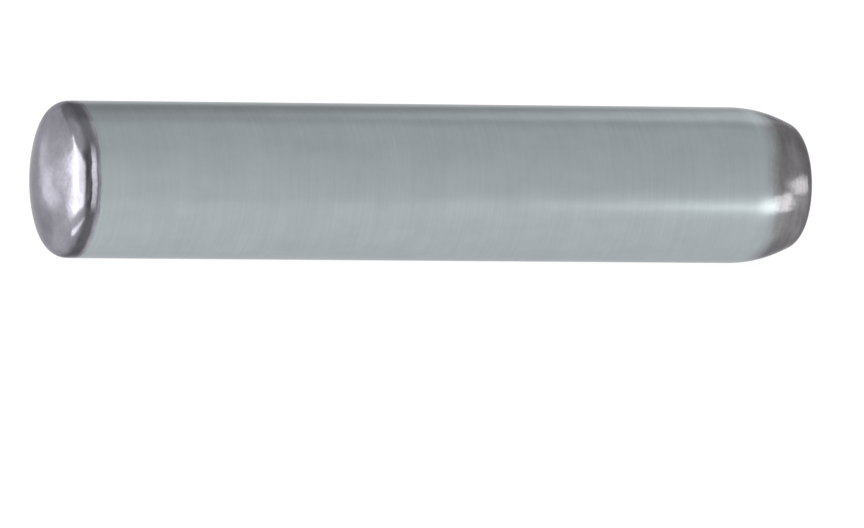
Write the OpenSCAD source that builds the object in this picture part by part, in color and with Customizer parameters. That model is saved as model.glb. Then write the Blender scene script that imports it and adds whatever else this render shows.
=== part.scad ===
// Hardened and ground steel dowel pin.
// A straight ground shank with a domed crown on its -X end and a tapered lead-in on its +X end.
// The pin's axis is X, and the origin is on that axis, half way along the overall length.

/* [Pin] */
// Diameter of the ground shank
pin_d = 10; // [8:0.5:14]
// Overall length, from the top of the crown to the tip of the lead-in
pin_l = 51.6; // [20:0.1:120]

/* [Crown] */
// Angle that the run-out turns the shank's outline through before the edge rounding, in degrees
crown_runout_angle = 4; // [1:0.5:10]
// Radius of the run-out from the ground shank
crown_runout_r = 6; // [1:0.5:12]
// Radius that rounds the edge between the run-out and the dome
crown_edge_r = 1.1; // [0.3:0.1:2.5]
// Radius of the dome
crown_dome_r = 11.2; // [8:0.1:40]

/* [Lead-in] */
// Angle between the lead-in's flank and the axis, in degrees
lead_angle = 24; // [8:1:30]
// Radius that blends the shank into the flank
lead_blend_r = 8.7; // [1:0.1:12]
// Length of the straight flank between the blend and the edge rounding
lead_flank_l = 0.4; // [0.1:0.1:4]
// Radius that rounds the edge between the flank and the end face
lead_edge_r = 1.1; // [0.3:0.1:2]
// Radius of the slightly domed end face
lead_face_r = 28.8; // [10:0.1:80]

/* [Finish] */
// Largest angle that one facet of a rounding turns through, in degrees
arc_step = 2.5; // [1:0.5:10]
// Facets round the pin in a preview
round_facets = 144; // [48:12:240]

/* [Hidden] */
steel = [0.60, 0.63, 0.64];
pin_r = pin_d / 2;

// Both ends are drawn alike, from the shank outwards: a blend that turns the outline inwards, a straight
// flank, an edge rounding, and a dome whose centre is on the axis. An end is the list
// [turn of the blend, blend radius, flank length, edge radius, dome radius].
CROWN = [crown_runout_angle, crown_runout_r, 0, crown_edge_r, crown_dome_r];
LEAD_IN = [lead_angle, lead_blend_r, lead_flank_l, lead_edge_r, lead_face_r];

// A point of an outline is [distance from the axis, distance out from the end of the shank].
function on_arc(centre, radius, angle) = centre + radius * [cos(angle), sin(angle)];

// The centres of an end's three arcs, the flank that is tangent to the first two, and the angle at which
// the edge rounding meets the dome.
function blend_centre(end) = [pin_r - end[1], 0];
function flank_start(end) = on_arc(blend_centre(end), end[1], end[0]);
function flank_stop(end) = on_arc(flank_start(end), end[2], end[0] + 90);
function edge_centre(end) = on_arc(flank_stop(end), -end[3], end[0]);
function rim_angle(end) = acos(edge_centre(end)[0] / (end[4] - end[3]));
function dome_centre(end) = [0, edge_centre(end)[1] - (end[4] - end[3]) * sin(rim_angle(end))];
function end_l(end) = dome_centre(end)[1] + end[4];

// Points along an arc, leaving out its first one, which the piece of outline before it ends on.
function arc_after_start(centre, radius, from, to) =
    let (steps = ceil((to - from) / arc_step))
    [for (i = [1 : steps]) on_arc(centre, radius, from + (to - from) * i / steps)];

// An end's outline from the shank to the tip.
function end_outline(end) = concat(
    [[pin_r, 0]],
    arc_after_start(blend_centre(end), end[1], 0, end[0]),
    end[2] > 0 ? [flank_stop(end)] : [],
    arc_after_start(edge_centre(end), end[3], end[0], rim_angle(end)),
    arc_after_start(dome_centre(end), end[4], rim_angle(end), 90)
);

shank_l = pin_l - end_l(CROWN) - end_l(LEAD_IN);
shank_from = end_l(CROWN) - pin_l / 2;
shank_to = shank_from + shank_l;

// The whole pin's outline, from the tip of the crown to the tip of the lead-in, against the axis.
function pin_outline() =
    let (crown = end_outline(CROWN), lead_in = end_outline(LEAD_IN))
    concat(
        [for (i = [len(crown) - 1 : -1 : 0]) [crown[i][0], shank_from - crown[i][1]]],
        [for (point = lead_in) [point[0], shank_to + point[1]]]
    );

// One piece, turned and ground round the axis.
module dowel_pin() {
    color(steel)
        rotate([0, 90, 0])
            rotate_extrude($fn = round_facets)
                polygon(pin_outline());
}

dowel_pin();
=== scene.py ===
# The looks of a hardened and ground steel dowel pin, lying on a pale table in soft studio light.
# Lengths are in metres where no comment says otherwise, in the pin's own frame: X is its axis, and +X is
# the tapered lead-in end.
import math

import bpy
from mathutils import Matrix, Vector


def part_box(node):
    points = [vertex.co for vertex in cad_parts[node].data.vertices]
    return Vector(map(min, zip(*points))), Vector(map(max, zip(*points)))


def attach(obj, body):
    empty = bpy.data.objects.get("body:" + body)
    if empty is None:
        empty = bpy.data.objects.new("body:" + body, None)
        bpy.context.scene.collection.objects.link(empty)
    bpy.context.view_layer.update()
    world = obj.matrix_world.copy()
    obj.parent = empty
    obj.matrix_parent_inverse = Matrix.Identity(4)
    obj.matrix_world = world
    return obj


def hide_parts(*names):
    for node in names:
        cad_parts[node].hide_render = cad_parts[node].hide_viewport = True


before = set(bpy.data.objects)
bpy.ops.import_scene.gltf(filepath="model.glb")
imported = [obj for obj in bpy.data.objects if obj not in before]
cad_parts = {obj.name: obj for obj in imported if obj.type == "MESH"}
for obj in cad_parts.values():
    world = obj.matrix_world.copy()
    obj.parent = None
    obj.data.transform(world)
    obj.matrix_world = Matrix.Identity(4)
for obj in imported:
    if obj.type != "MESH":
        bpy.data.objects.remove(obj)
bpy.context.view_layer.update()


# THE PIN
# One solid piece of hardened steel, turned to a domed crown and a tapered lead-in, then ground along its
# shank. The grinding leaves a satin sheen with fine lines round the pin. It stops short of both ends, which
# keep the darker, smoother skin that hardening and tumbling gave them.
MM = 0.001
pin_low, pin_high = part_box("dowel_pin")
PIN_RADIUS = pin_high.z
PIN_LENGTH = pin_high.x - pin_low.x

# Both ends are drawn alike, from the shank outwards: a blend, a straight flank, an edge rounding and a
# dome, each of them tangent to its neighbour.
END_SIZES = ("Turn", "Blend Radius", "Flank", "Edge Radius", "Dome Radius")
CROWN = (math.radians(4), 6 * MM, 0, 1.1 * MM, 11.2 * MM)
LEAD_IN = (math.radians(24), 8.7 * MM, 0.4 * MM, 1.1 * MM, 28.8 * MM)
RINGS_PER_ARC = 30
POINTS_ROUND = 256
WELD = 0.001 * MM


def calc(tree, operation, *values):
    """The result of one Math node. Each value is a number or another node's socket."""
    node = tree.nodes.new("ShaderNodeMath")
    node.operation = operation
    for socket, value in zip(node.inputs, values):
        if isinstance(value, bpy.types.NodeSocket):
            tree.links.new(value, socket)
        else:
            socket.default_value = value
    return node.outputs[0]


def pin_end_rule():
    """A node group that places one end's arcs. R is measured from the axis, and Out from the shank's end."""
    rule = bpy.data.node_groups.new("pin_end_rule", "GeometryNodeTree")
    for name in ("Pin Radius", *END_SIZES):
        rule.interface.new_socket(name, in_out="INPUT", socket_type="NodeSocketFloat")
    results = ("Blend R", "Edge R", "Edge Out", "Dome Out", "Rim Angle", "End Length")
    for name in results:
        rule.interface.new_socket(name, in_out="OUTPUT", socket_type="NodeSocketFloat")
    sizes = rule.nodes.new("NodeGroupInput").outputs
    turn, blend_radius, flank, edge_radius, dome_radius = (sizes[name] for name in END_SIZES)
    cosine = calc(rule, "COSINE", turn)
    sine = calc(rule, "SINE", turn)
    blend_r = calc(rule, "SUBTRACT", sizes["Pin Radius"], blend_radius)
    blend_less_edge = calc(rule, "SUBTRACT", blend_radius, edge_radius)
    edge_r = calc(rule, "SUBTRACT", calc(rule, "MULTIPLY_ADD", blend_less_edge, cosine, blend_r),
                  calc(rule, "MULTIPLY", flank, sine))
    edge_out = calc(rule, "MULTIPLY_ADD", blend_less_edge, sine, calc(rule, "MULTIPLY", flank, cosine))
    dome_less_edge = calc(rule, "SUBTRACT", dome_radius, edge_radius)
    rim_angle = calc(rule, "ARCCOSINE", calc(rule, "DIVIDE", edge_r, dome_less_edge))
    edge_past_dome = calc(rule, "MULTIPLY", dome_less_edge, calc(rule, "SINE", rim_angle))
    dome_out = calc(rule, "SUBTRACT", edge_out, edge_past_dome)
    end_length = calc(rule, "ADD", dome_out, dome_radius)
    made = rule.nodes.new("NodeGroupOutput").inputs
    for name, value in zip(results, (blend_r, edge_r, edge_out, dome_out, rim_angle, end_length)):
        rule.links.new(value, made[name])
    return rule


def turned_pin_rule():
    """A node tree that turns the whole pin: rings of points along six arcs, closed at both tips."""
    rule = bpy.data.node_groups.new("turned_pin_rule", "GeometryNodeTree")
    add_socket = rule.interface.new_socket
    for name in ("Pin Radius", "Pin Length"):
        add_socket(name, in_out="INPUT", socket_type="NodeSocketFloat")
    for end in ("Crown", "Lead-in"):
        for name in END_SIZES:
            add_socket(f"{end} {name}", in_out="INPUT", socket_type="NodeSocketFloat")
    for name in ("Rings per Arc", "Points Round"):
        add_socket(name, in_out="INPUT", socket_type="NodeSocketInt")
    add_socket("Steel", in_out="INPUT", socket_type="NodeSocketMaterial")
    add_socket("Pin", in_out="OUTPUT", socket_type="NodeSocketGeometry")
    sizes = rule.nodes.new("NodeGroupInput").outputs
    end_rule = pin_end_rule()

    # Each end's arcs, from the shank outwards: [centre out, centre from the axis, radius, start, stop].
    end_lengths = {}
    end_arcs = {}
    for end in ("Crown", "Lead-in"):
        group = rule.nodes.new("GeometryNodeGroup")
        group.node_tree = end_rule
        rule.links.new(sizes["Pin Radius"], group.inputs["Pin Radius"])
        for name in END_SIZES:
            rule.links.new(sizes[f"{end} {name}"], group.inputs[name])
        out, turn = group.outputs, sizes[f"{end} Turn"]
        end_lengths[end] = out["End Length"]
        end_arcs[end] = [
            (0.0, out["Blend R"], sizes[f"{end} Blend Radius"], 0.0, turn),
            (out["Edge Out"], out["Edge R"], sizes[f"{end} Edge Radius"], turn, out["Rim Angle"]),
            (out["Dome Out"], 0.0, sizes[f"{end} Dome Radius"], out["Rim Angle"], math.pi / 2),
        ]

    # All six arcs in order along the pin, with the places of their centres on X.
    half_length = calc(rule, "DIVIDE", sizes["Pin Length"], 2)
    shank_from = calc(rule, "SUBTRACT", end_lengths["Crown"], half_length)
    shank_to = calc(rule, "SUBTRACT", half_length, end_lengths["Lead-in"])
    arcs = []
    for out, from_axis, radius, start, stop in reversed(end_arcs["Crown"]):
        arcs.append((calc(rule, "SUBTRACT", shank_from, out), from_axis, radius, stop, start))
    for out, from_axis, radius, start, stop in end_arcs["Lead-in"]:
        arcs.append((calc(rule, "ADD", shank_to, out), from_axis, radius, start, stop))

    # A tube of radius 1 and length 1 gives the rings, with Z from -0.5 to 0.5. The number of a point's ring
    # says which arc it is on, and how far along.
    rings = calc(rule, "MULTIPLY", sizes["Rings per Arc"], len(arcs))
    tube = rule.nodes.new("GeometryNodeMeshCylinder")
    tube.fill_type = "NONE"
    tube.inputs["Radius"].default_value = 1
    tube.inputs["Depth"].default_value = 1
    rule.links.new(sizes["Points Round"], tube.inputs["Vertices"])
    rule.links.new(calc(rule, "SUBTRACT", rings, 1), tube.inputs["Side Segments"])
    on_tube = rule.nodes.new("ShaderNodeSeparateXYZ")
    rule.links.new(rule.nodes.new("GeometryNodeInputPosition").outputs[0], on_tube.inputs[0])
    along = calc(rule, "ADD", on_tube.outputs["Z"], 0.5)
    ring = calc(rule, "ROUND", calc(rule, "MULTIPLY", along, calc(rule, "SUBTRACT", rings, 1)))
    arc = calc(rule, "FLOOR", calc(rule, "DIVIDE", ring, sizes["Rings per Arc"]))
    ring_on_arc = calc(rule, "SUBTRACT", ring, calc(rule, "MULTIPLY", arc, sizes["Rings per Arc"]))
    share = calc(rule, "DIVIDE", ring_on_arc, calc(rule, "SUBTRACT", sizes["Rings per Arc"], 1))

    def on_this_arc(column):
        """The value that the point's own arc has in that column."""
        switch = rule.nodes.new("GeometryNodeIndexSwitch")
        switch.data_type = "FLOAT"
        while len(switch.index_switch_items) < len(arcs):
            switch.index_switch_items.new()
        rule.links.new(arc, switch.inputs["Index"])
        for number, row in enumerate(arcs):
            if isinstance(row[column], bpy.types.NodeSocket):
                rule.links.new(row[column], switch.inputs[str(number)])
            else:
                switch.inputs[str(number)].default_value = row[column]
        return switch.outputs[0]

    # The sine counts towards the tip, which is -X on the crown's arcs and +X on the lead-in's.
    centre_x, from_axis, radius, start, stop = (on_this_arc(column) for column in range(5))
    angle = calc(rule, "MULTIPLY_ADD", calc(rule, "SUBTRACT", stop, start), share, start)
    last_crown_arc = len(end_arcs["Crown"]) - 1
    on_lead_in = calc(rule, "GREATER_THAN", arc, last_crown_arc + 0.5)
    side = calc(rule, "MULTIPLY_ADD", on_lead_in, 2, -1)
    signed_radius = calc(rule, "MULTIPLY", radius, side)
    ring_x = calc(rule, "MULTIPLY_ADD", signed_radius, calc(rule, "SINE", angle), centre_x)
    ring_radius = calc(rule, "MULTIPLY_ADD", radius, calc(rule, "COSINE", angle), from_axis)
    turned = rule.nodes.new("ShaderNodeCombineXYZ")
    rule.links.new(ring_x, turned.inputs["X"])
    rule.links.new(calc(rule, "MULTIPLY", ring_radius, on_tube.outputs["X"]), turned.inputs["Y"])
    rule.links.new(calc(rule, "MULTIPLY", ring_radius, on_tube.outputs["Y"]), turned.inputs["Z"])
    place = rule.nodes.new("GeometryNodeSetPosition")
    rule.links.new(tube.outputs["Mesh"], place.inputs["Geometry"])
    rule.links.new(turned.outputs[0], place.inputs["Position"])

    # The tips and the rings where two arcs meet are welded, and the whole is smooth.
    weld = rule.nodes.new("GeometryNodeMergeByDistance")
    weld.inputs["Distance"].default_value = WELD
    smooth = rule.nodes.new("GeometryNodeSetShadeSmooth")
    realize = rule.nodes.new("GeometryNodeRealizeInstances")
    set_steel = rule.nodes.new("GeometryNodeSetMaterial")
    finished = rule.nodes.new("NodeGroupOutput")
    rule.links.new(sizes["Steel"], set_steel.inputs["Material"])
    steps = (place, weld, smooth, realize, set_steel, finished)
    for before, after in zip(steps, steps[1:]):
        rule.links.new(before.outputs[0], after.inputs[0])
    return rule


def made_by_rule(name, rule, values):
    """A plain mesh object that the node tree makes from these named values."""
    maker = bpy.data.objects.new(name + "_maker", bpy.data.meshes.new(name + "_maker"))
    bpy.context.scene.collection.objects.link(maker)
    modifier = maker.modifiers.new("rule", "NODES")
    modifier.node_group = rule
    for item in rule.interface.items_tree:
        if item.in_out == "INPUT":
            modifier[item.identifier] = values[item.name]
    seen = maker.evaluated_get(bpy.context.evaluated_depsgraph_get())
    mesh = bpy.data.meshes.new_from_object(seen)
    mesh.name = name
    maker.modifiers.clear()
    bpy.data.objects.remove(maker)
    made = bpy.data.objects.new(name, mesh)
    bpy.context.scene.collection.objects.link(made)
    return made


# Where each finish lies. A band is four places along the pin, in millimetres: where it starts to show, where
# it is full, where it starts to fade and where it ends. A ring of painted dark reflection lies between the
# crown's edge and the ground shank. On its front side it is painted darker still, with a painted highlight
# stripe in it.
CROWN_TIP = pin_low.x / MM
LEAD_IN_TIP = pin_high.x / MM
GROUND_BAND = (CROWN_TIP + 2.32, CROWN_TIP + 2.46, LEAD_IN_TIP - 4.2, LEAD_IN_TIP - 2.5)
PAINTED_REFLECTION_BAND = (CROWN_TIP + 1.18, CROWN_TIP + 1.60, CROWN_TIP + 1.98, CROWN_TIP + 2.30)
PAINTED_HIGHLIGHT_BAND = (CROWN_TIP + 1.72, CROWN_TIP + 1.82, CROWN_TIP + 2.06, CROWN_TIP + 2.18)
BORDER_WANDER = 0.05
LEAD_IN_WANDER = 0.30

# Angles round the pin, in radians from +Z towards -Y. The dark ring's painted shade runs from the first of
# the side shades to the second between the two side angles, so it is painted lighter on top and darker low
# in front.
# The front side, where the ring is painted with a deep dark line and a painted highlight stripe.
PAINTED_FRONT_SIDE = (0.48, 0.80, 1.24, 1.50)
PAINTED_SHADE_SIDES = (0.3, 1.8)
PAINTED_SIDE_SHADES = (0.58, 0.32)
# The painted dark line and the painted highlight stripe, as shades of the ends' colour.
PAINTED_LINE_SHADE = 0.16
PAINTED_HIGHLIGHT_GAIN = 2.1

GROUND_COLOUR = (0.372, 0.412, 0.427, 1)
CROWN_COLOUR = (0.300, 0.292, 0.332, 1)
LEAD_IN_COLOUR = (0.182, 0.174, 0.180, 1)
GROUND_GRAZING_TINT = (0.76, 0.76, 0.78, 1)
TUMBLED_GRAZING_TINT = (0.56, 0.56, 0.58, 1)
GROUND_ROUGHNESS = 0.31
TUMBLED_ROUGHNESS = (0.17, 0.24)
GRINDING_STRETCH = 0.45
LINE_HEIGHT = 0.0005 * MM
GRAIN_HEIGHT = 0.0004 * MM
WOBBLE_HEIGHT = 0.005 * MM
RELIEF_FADE = 4
NOISE_RANGE = (0.3, 0.7)

steel = bpy.data.materials.new("ground_steel")
steel.use_nodes = True
finish = steel.node_tree
shader = finish.nodes["Principled BSDF"]
shader.inputs["Metallic"].default_value = 1
shader.inputs["Anisotropic"].default_value = GRINDING_STRETCH

object_place = finish.nodes.new("ShaderNodeTexCoord")
in_millimetres = finish.nodes.new("ShaderNodeMapping")
in_millimetres.inputs["Scale"].default_value = (1 / MM, 1 / MM, 1 / MM)
finish.links.new(object_place.outputs["Object"], in_millimetres.inputs["Vector"])
on_pin = finish.nodes.new("ShaderNodeSeparateXYZ")
finish.links.new(in_millimetres.outputs[0], on_pin.inputs[0])


def ranged(tree, value, start, stop, low=0, high=1, steps="LINEAR"):
    """The value's run from start to stop, turned into a run from low to high and held at both."""
    node = tree.nodes.new("ShaderNodeMapRange")
    node.interpolation_type = steps
    for socket, number in zip(node.inputs[1:5], (start, stop, low, high)):
        socket.default_value = number
    tree.links.new(value, node.inputs[0])
    return node.outputs[0]


def marks(along, round_pin, detail, roughness=0.5):
    """Noise from 0 to 1, with this many features to a millimetre along the pin and round it."""
    scaled = finish.nodes.new("ShaderNodeMapping")
    scaled.inputs["Scale"].default_value = (along, round_pin, round_pin)
    noise = finish.nodes.new("ShaderNodeTexNoise")
    noise.inputs["Scale"].default_value = 1
    noise.inputs["Detail"].default_value = detail
    noise.inputs["Roughness"].default_value = roughness
    finish.links.new(in_millimetres.outputs[0], scaled.inputs["Vector"])
    finish.links.new(scaled.outputs[0], noise.inputs["Vector"])
    return noise.outputs[0]


def spread(noise, low, high):
    """Noise, which seldom leaves NOISE_RANGE, spread from low to high."""
    return ranged(finish, noise, *NOISE_RANGE, low, high)


def shading(noise, strength):
    """A factor that the noise moves to both sides of 1 by this much."""
    return spread(noise, 1 - strength, 1 + strength)


def band(value, shows_from, full_from, full_to, shows_to):
    """1 where the value lies in the band's full part, 0 outside the band, and a soft step between."""
    risen = ranged(finish, value, shows_from, full_from, steps="SMOOTHSTEP")
    left = ranged(finish, value, full_to, shows_to, 1, 0, steps="SMOOTHSTEP")
    return calc(finish, "MULTIPLY", risen, left)


def mixed(share, at_0, at_1, kind="FLOAT"):
    """The first value where the share is 0, the second where it is 1, and a mix of the two between."""
    mixer = finish.nodes.new("ShaderNodeMix")
    mixer.data_type = kind
    in_use = [socket for socket in mixer.inputs if socket.enabled]
    for socket, value in zip(in_use, (share, at_0, at_1)):
        if isinstance(value, bpy.types.NodeSocket):
            finish.links.new(value, socket)
        else:
            socket.default_value = value
    return next(socket for socket in mixer.outputs if socket.enabled)


# Where the point lies. The borders of the finishes wander slightly, and the lead-in's border more.
border_wander = spread(marks(along=0.4, round_pin=0.9, detail=2), -BORDER_WANDER, BORDER_WANDER)
place_along = calc(finish, "ADD", on_pin.outputs["X"], border_wander)
on_lead_in_half = calc(finish, "GREATER_THAN", place_along, 0)
lead_in_wander = spread(marks(along=0, round_pin=0.30, detail=0), -LEAD_IN_WANDER, LEAD_IN_WANDER)
ground_place = calc(finish, "MULTIPLY_ADD", on_lead_in_half, lead_in_wander, place_along)
towards_front = calc(finish, "MULTIPLY", on_pin.outputs["Y"], -1)
angle_round = calc(finish, "ARCTAN2", towards_front, on_pin.outputs["Z"])
ground = band(ground_place, *GROUND_BAND)
# The painted dark reflection ring by the crown, the painted highlight stripe in it, and its front side.
painted_reflection_ring = band(place_along, *PAINTED_REFLECTION_BAND)
painted_highlight_ring = band(place_along, *PAINTED_HIGHLIGHT_BAND)
painted_front_side = band(angle_round, *PAINTED_FRONT_SIDE)

grinding_lines = marks(along=24, round_pin=0.30, detail=3)
broad_lines = marks(along=3.5, round_pin=0.12, detail=2)
grain = marks(along=11, round_pin=11, detail=2)
clouds = marks(along=0.35, round_pin=0.60, detail=4, roughness=0.65)
blotches = marks(along=0.45, round_pin=0.45, detail=3)
turned_rings = marks(along=1.5, round_pin=0.28, detail=2)
wobble = marks(along=0.85, round_pin=0.85, detail=2)
scuffs = marks(along=5, round_pin=5, detail=4)

# The colour, with the marks of each finish in it, and the painted dark reflection ring with its painted
# highlight.
line_shade = calc(finish, "MULTIPLY", shading(grinding_lines, strength=0.04),
                  shading(broad_lines, strength=0.02))
ground_shade = calc(finish, "MULTIPLY", line_shade, shading(clouds, strength=0.045))
skin_shade = calc(finish, "MULTIPLY", shading(scuffs, strength=0.06), shading(blotches, strength=0.14))
# The ring's painted shade: lighter on top and darker low in front, and on the front side a painted dark line
# with a painted highlight stripe in it.
painted_side_shade = ranged(finish, angle_round, *PAINTED_SHADE_SIDES, *PAINTED_SIDE_SHADES)
painted_ring_tone = mixed(painted_front_side, painted_side_shade, mixed(painted_highlight_ring, PAINTED_LINE_SHADE, PAINTED_HIGHLIGHT_GAIN))
end_shade = calc(finish, "MULTIPLY", skin_shade, shading(turned_rings, strength=0.22))
# The ends' skin with its marks, darkened where the ring of painted dark reflection lies.
skin_and_painted_reflection_tone = calc(finish, "MULTIPLY", end_shade, mixed(painted_reflection_ring, 1, painted_ring_tone))
tumbled_colour = mixed(on_lead_in_half, CROWN_COLOUR, LEAD_IN_COLOUR, "RGBA")
shaded = finish.nodes.new("ShaderNodeVectorMath")
shaded.operation = "SCALE"
finish.links.new(mixed(ground, tumbled_colour, GROUND_COLOUR, "RGBA"), shaded.inputs[0])
finish.links.new(mixed(ground, skin_and_painted_reflection_tone, ground_shade), shaded.inputs["Scale"])
finish.links.new(shaded.outputs[0], shader.inputs["Base Color"])
grazing_tint = mixed(ground, TUMBLED_GRAZING_TINT, GROUND_GRAZING_TINT, "RGBA")
finish.links.new(grazing_tint, shader.inputs["Specular Tint"])

# The sheen. Grinding stretches it along the pin, across its fine lines.
tumbled_roughness = spread(blotches, *TUMBLED_ROUGHNESS)
finish.links.new(mixed(ground, tumbled_roughness, GROUND_ROUGHNESS), shader.inputs["Roughness"])
along_pin = finish.nodes.new("ShaderNodeCombineXYZ")
along_pin.inputs["X"].default_value = 1
finish.links.new(along_pin.outputs[0], shader.inputs["Tangent"])

# The relief, in metres. The ground shank's own relief fades out before its colour does.
line_height = calc(finish, "MULTIPLY", grinding_lines, LINE_HEIGHT)
ground_height = calc(finish, "MULTIPLY_ADD", grain, GRAIN_HEIGHT, line_height)
tumbled_height = spread(wobble, -WOBBLE_HEIGHT, WOBBLE_HEIGHT)
fully_ground = calc(finish, "POWER", ground, RELIEF_FADE)
relief = finish.nodes.new("ShaderNodeBump")
relief.inputs["Distance"].default_value = 1
finish.links.new(mixed(fully_ground, tumbled_height, ground_height), relief.inputs["Height"])
finish.links.new(relief.outputs[0], shader.inputs["Normal"])

pin = made_by_rule("steel_dowel_pin", turned_pin_rule(), {
    "Pin Radius": PIN_RADIUS,
    "Pin Length": PIN_LENGTH,
    **{f"Crown {name}": float(size) for name, size in zip(END_SIZES, CROWN)},
    **{f"Lead-in {name}": float(size) for name, size in zip(END_SIZES, LEAD_IN)},
    "Rings per Arc": RINGS_PER_ARC,
    "Points Round": POINTS_ROUND,
    "Steel": steel,
})
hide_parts("dowel_pin")
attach(pin, "root")


# THE TABLE
# A plain white light table that the pin lies on. It glows evenly from below, so shadows are faint.
TABLE_REACH = 3.0
TABLE_GLOW = 0.95
TABLE_COLOUR = (0.12, 0.12, 0.12, 1)
TABLE_ROUGHNESS = 0.9
sides = (-TABLE_REACH, TABLE_REACH)
table_mesh = bpy.data.meshes.new("table")
table_mesh.from_pydata([(x, y, -PIN_RADIUS) for y in sides for x in sides], [], [(0, 1, 3, 2)])
table = bpy.data.objects.new("table", table_mesh)
bpy.context.scene.collection.objects.link(table)
board = bpy.data.materials.new("light_table")
board.use_nodes = True
board_shader = board.node_tree.nodes["Principled BSDF"]
board_shader.inputs["Base Color"].default_value = TABLE_COLOUR
board_shader.inputs["Roughness"].default_value = TABLE_ROUGHNESS
board_shader.inputs["Specular IOR Level"].default_value = 0
board_shader.inputs["Emission Color"].default_value = (1, 1, 1, 1)
board_shader.inputs["Emission Strength"].default_value = TABLE_GLOW
board.cycles.emission_sampling = "NONE"
table_mesh.materials.append(board)


# THE LIGHT
# A plain room with a dim curtain on two sides, and soft boxes round the pin that the steel sees and the
# camera doesn't. What lies behind a box shines through it, so the two add up. Angles are in degrees, and a
# bearing counts from -X through -Y.
ROOM = 0.80
SOFT_SIDES = 6
SOFT_TOP = 10
PIN_MIDDLE = (0, 0, 0)

world = bpy.data.worlds.new("studio")
bpy.context.scene.world = world
world.use_nodes = True
room = world.node_tree
seen_at = room.nodes.new("ShaderNodeSeparateXYZ")
room.links.new(room.nodes.new("ShaderNodeTexCoord").outputs["Generated"], seen_at.inputs[0])


def level(bearing):
    """The level direction that has this bearing."""
    return Vector((-math.cos(math.radians(bearing)), -math.sin(math.radians(bearing)), 0))


def curtain(bearing, half_width, top, darkness):
    """The share of the room's brightness that a curtain leaves. Its width and top are angles at the pin."""
    towards = level(bearing)
    along_x = calc(room, "MULTIPLY", seen_at.outputs["X"], towards.x)
    facing = calc(room, "MULTIPLY_ADD", seen_at.outputs["Y"], towards.y, along_x)
    height_squared = calc(room, "MULTIPLY", seen_at.outputs["Z"], seen_at.outputs["Z"])
    run = calc(room, "SQRT", calc(room, "SUBTRACT", 1, height_squared))
    edges = [math.cos(math.radians(half_width + soft)) for soft in (SOFT_SIDES, -SOFT_SIDES)]
    heights = [math.sin(math.radians(top + soft)) for soft in (SOFT_TOP, -SOFT_TOP)]
    across = ranged(room, calc(room, "DIVIDE", facing, run), *edges, steps="SMOOTHSTEP")
    below = ranged(room, seen_at.outputs["Z"], *heights, steps="SMOOTHSTEP")
    return calc(room, "MULTIPLY_ADD", calc(room, "MULTIPLY", across, below), -darkness, 1)


left_front_curtain = curtain(bearing=37, half_width=25, top=65, darkness=0.60)
back_curtain = curtain(bearing=270, half_width=34, top=52, darkness=0.44)
light_left = calc(room, "MULTIPLY", left_front_curtain, back_curtain)
room.links.new(calc(room, "MULTIPLY", light_left, ROOM), room.nodes["Background"].inputs["Strength"])
room.nodes["Background"].inputs["Color"].default_value = (1, 1, 1, 1)


def soft_box(name, at, facing, size, brightness, roll=0):
    """A rectangular light that is equally bright all over. Its places and size are in millimetres."""
    lamp = bpy.data.lights.new(name, "AREA")
    lamp.shape = "RECTANGLE"
    lamp.size, lamp.size_y = (length * MM for length in size)
    lamp.energy = math.pi * lamp.size * lamp.size_y * brightness
    box = bpy.data.objects.new(name, lamp)
    bpy.context.scene.collection.objects.link(box)
    back = (Vector(at) - Vector(facing)).normalized()
    turned = back.to_track_quat("Z", "Y").to_matrix().to_4x4() @ Matrix.Rotation(math.radians(roll), 4, "Z")
    box.matrix_world = Matrix.Translation(Vector(at) * MM) @ turned
    box.visible_camera = False


def leaning_box(name, start, bearing, near, far, width, brightness):
    """A soft box along a bearing, facing up. Near and far are its ends, as [run from the start, height]."""
    away = level(bearing)
    near_end, far_end = (Vector((*start, height)) + run * away for run, height in (near, far))
    slope = far_end - near_end
    middle = (near_end + far_end) / 2
    upwards = away.cross(Vector((0, 0, 1))).cross(slope).normalized()
    soft_box(name, middle, middle + upwards, (width, slope.length), brightness)


# Beside the crown. The low boxes lie just above the table, the left box rises away from the pin, and the
# crown's own box stands on edge.
leaning_box("left_low_box", start=(-34.6, -5.6), bearing=327, near=(0, -4.9), far=(36, -4.3),
            width=11, brightness=1.2)
leaning_box("left_box", start=(-36.2, -19.6), bearing=326, near=(40, -4.9), far=(200, 60),
            width=40, brightness=2.1)
leaning_box("crown_low_box", start=(-25.9, -5.3), bearing=68.7, near=(0, -4.8), far=(10.5, -4.8),
            width=1.8, brightness=2.4)
leaning_box("dome_low_box", start=(-28.6, 2.6), bearing=294, near=(0, -4.8), far=(16.4, -4.8),
            width=5, brightness=0.65)
soft_box("crown_box", at=(-33.8, -5.4, 3.4), facing=(-24.4, -2.0, 3.4), size=(16.5, 14.5),
         brightness=2.15, roll=18)

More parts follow.
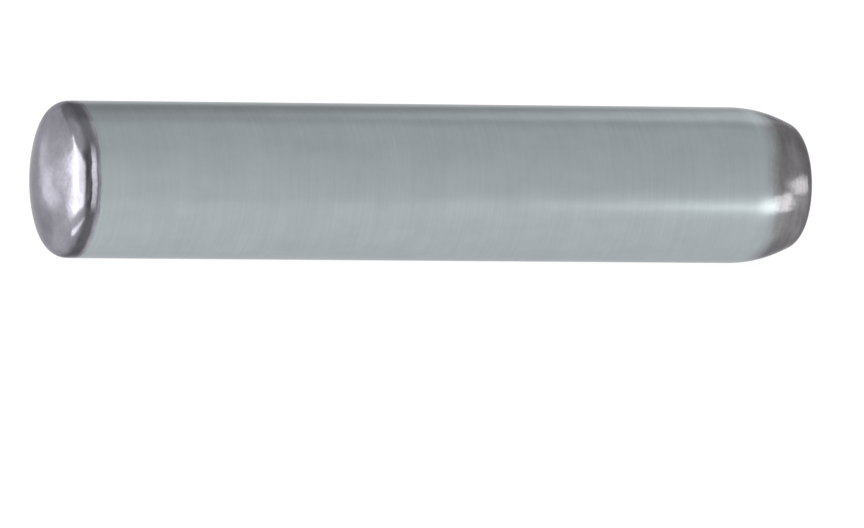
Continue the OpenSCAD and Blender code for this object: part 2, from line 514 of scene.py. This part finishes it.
# Beside the lead-in, a low box and one that rises beyond it. The last three stand farther off.
leaning_box("right_low_box", start=(22, 0), bearing=130, near=(32, -4.9), far=(50, -3),
            width=16, brightness=2.9)
leaning_box("right_box", start=(51.4, -45), bearing=143.3, near=(0, -3), far=(151.7, 34),
            width=42, brightness=2.9)
soft_box("right_end_box", at=(304, -102, 62), facing=PIN_MIDDLE, size=(110, 95), brightness=2.6)
soft_box("front_box", at=(-48, -180, 245), facing=(-48, 0, 245), size=(60, 480), brightness=1.9)
soft_box("back_box", at=(134, 212, 92), facing=PIN_MIDDLE, size=(70, 155), brightness=0.80)


# THE CAMERA
# A long lens, far off. It looks down on the crowned end and is turned a little, so that the pin lies
# almost level across the picture.
PICTURE_WIDTH = 864
PICTURE_HEIGHT = 528
PIXELS_PER_METRE = 15670
LENS = 900
SENSOR = 36
FAR_CLIP = 10
NEAR_END_TURN = math.radians(20.8)
LOOK_DOWN = math.radians(31.5)
AXIS_FALL = math.radians(0.43)
ORIGIN_IN_PICTURE = (420.0, 182.4)

to_camera = Vector((
    -math.sin(NEAR_END_TURN),
    -math.cos(NEAR_END_TURN) * math.cos(LOOK_DOWN),
    math.cos(NEAR_END_TURN) * math.sin(LOOK_DOWN),
))
pin_axis = Vector((1, 0, 0))
axis_in_picture = (pin_axis - pin_axis.dot(to_camera) * to_camera).normalized()
across_axis = to_camera.cross(axis_in_picture)
right = math.cos(AXIS_FALL) * axis_in_picture + math.sin(AXIS_FALL) * across_axis
up = to_camera.cross(right)
shift_right = (PICTURE_WIDTH / 2 - ORIGIN_IN_PICTURE[0]) / PIXELS_PER_METRE
shift_down = (PICTURE_HEIGHT / 2 - ORIGIN_IN_PICTURE[1]) / PIXELS_PER_METRE
distance = PICTURE_WIDTH / PIXELS_PER_METRE * LENS / SENSOR
camera_at = distance * to_camera + shift_right * right - shift_down * up

camera_data = bpy.data.cameras.new("camera")
camera_data.lens = LENS
camera_data.sensor_width = SENSOR
camera_data.clip_end = FAR_CLIP
camera = bpy.data.objects.new("camera", camera_data)
bpy.context.scene.collection.objects.link(camera)
bpy.context.scene.camera = camera
camera.matrix_world = Matrix.Translation(camera_at) @ Matrix((right, up, to_camera)).transposed().to_4x4()
bpy.context.scene.view_settings.view_transform = "Standard"
